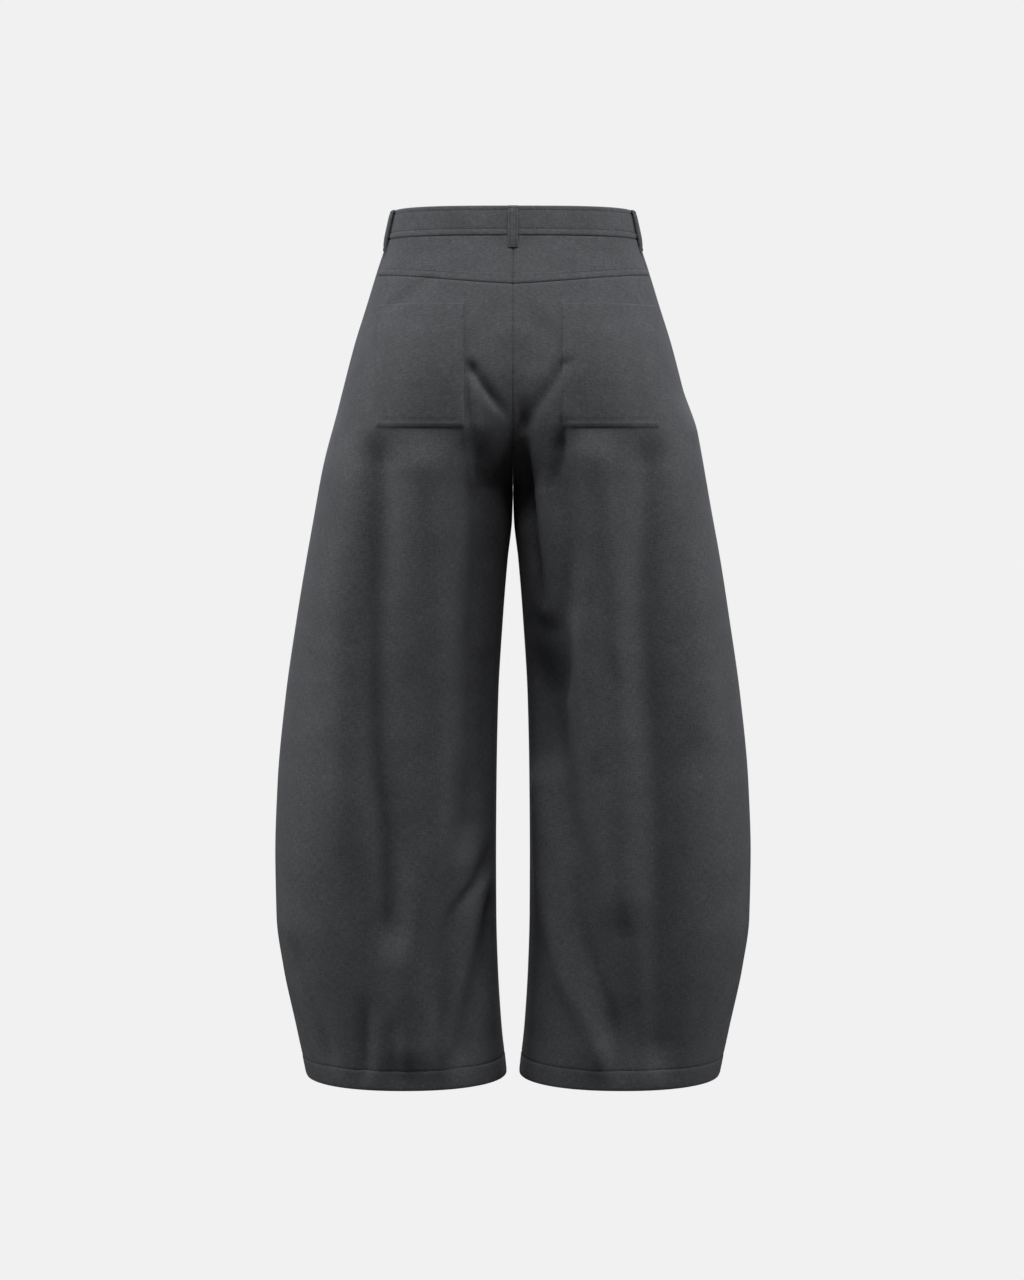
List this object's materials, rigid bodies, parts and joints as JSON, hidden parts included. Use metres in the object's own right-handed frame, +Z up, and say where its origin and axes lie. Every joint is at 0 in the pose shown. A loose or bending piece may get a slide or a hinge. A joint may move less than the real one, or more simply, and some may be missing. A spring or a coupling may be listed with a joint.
{
  "type": "barrel leg trousers",
  "caption": "Barrel-leg trousers filled out as worn: waistband with belt loops, back yoke, patch back pockets and turned-up hems, open at waist and ankles.",
  "frame": {"origin": "centre of the waistband at half its height, where the wearer holds the trousers up", "axes": "+Z up out of the waist, +Y towards the back of the trousers, +X towards the wearer's left"},
  "size_m": [0.5578, 0.262, 1.0055],
  "materials": {
    "suiting": "dark grey suiting with a faint slubbed weave and a soft sheen",
    "zip_tape": "black woven tape with a moulded coil",
    "button": "satin black resin"
  },
  "bodies": {
    "root": {"back_left": "suiting", "back_right": "suiting", "front_left": "suiting", "front_right": "suiting", "yoke_left": "suiting", "yoke_right": "suiting", "waistband": "suiting", "back_pocket_left": "suiting", "back_pocket_right": "suiting", "belt_loop_back": "suiting", "belt_loop_side_left": "suiting", "belt_loop_side_right": "suiting", "belt_loop_front_left": "suiting", "belt_loop_front_right": "suiting", "fly_zip": "zip_tape", "waist_button": "button"}
  },
  "joints": []
}
